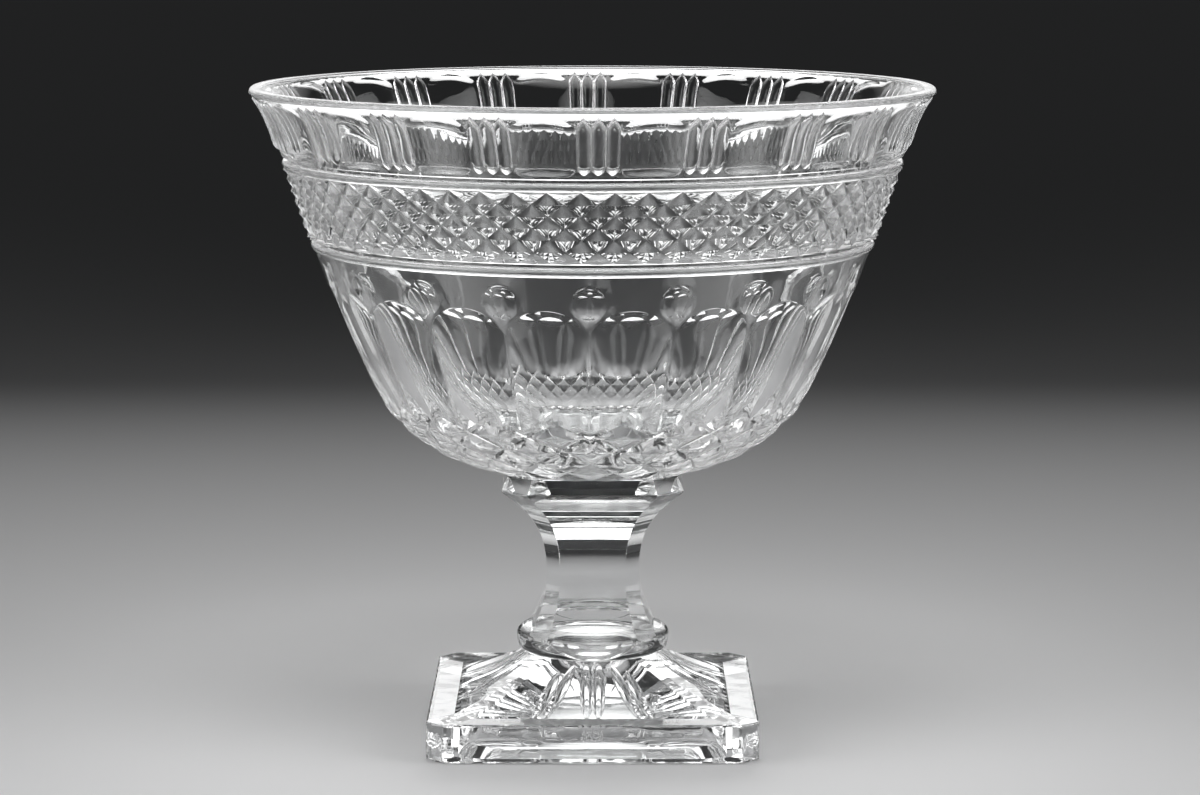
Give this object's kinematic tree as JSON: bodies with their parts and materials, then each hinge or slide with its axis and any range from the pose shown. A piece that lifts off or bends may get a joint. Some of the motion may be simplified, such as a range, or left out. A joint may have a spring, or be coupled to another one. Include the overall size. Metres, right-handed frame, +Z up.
{
  "type": "footed fruit bowl",
  "caption": "Clear pressed-glass centrepiece bowl with ribbed, diamond-cut and fluted bands, on a square waisted stem bonded to a square plinth foot; holds fruit on a table",
  "frame": {"origin": "centre of the foot's underside, on the rest plane", "axes": "+Z up along the bowl's axis; -Y is the side of the foot that faces the viewer in the picture"},
  "size_m": [0.25, 0.25, 0.2389],
  "materials": {
    "bowl_glass": "polished, colourless pressed glass",
    "bowl_bond_resin": "clear cured bond film",
    "stem_glass": "polished, colourless pressed glass",
    "foot_bond_resin": "clear cured bond film",
    "foot_glass": "polished, colourless pressed glass"
  },
  "bodies": {
    "root": {"bowl": "bowl_glass", "bowl_bond": "bowl_bond_resin", "stem": "stem_glass", "foot_bond": "foot_bond_resin", "square_foot": "foot_glass"}
  },
  "joints": []
}
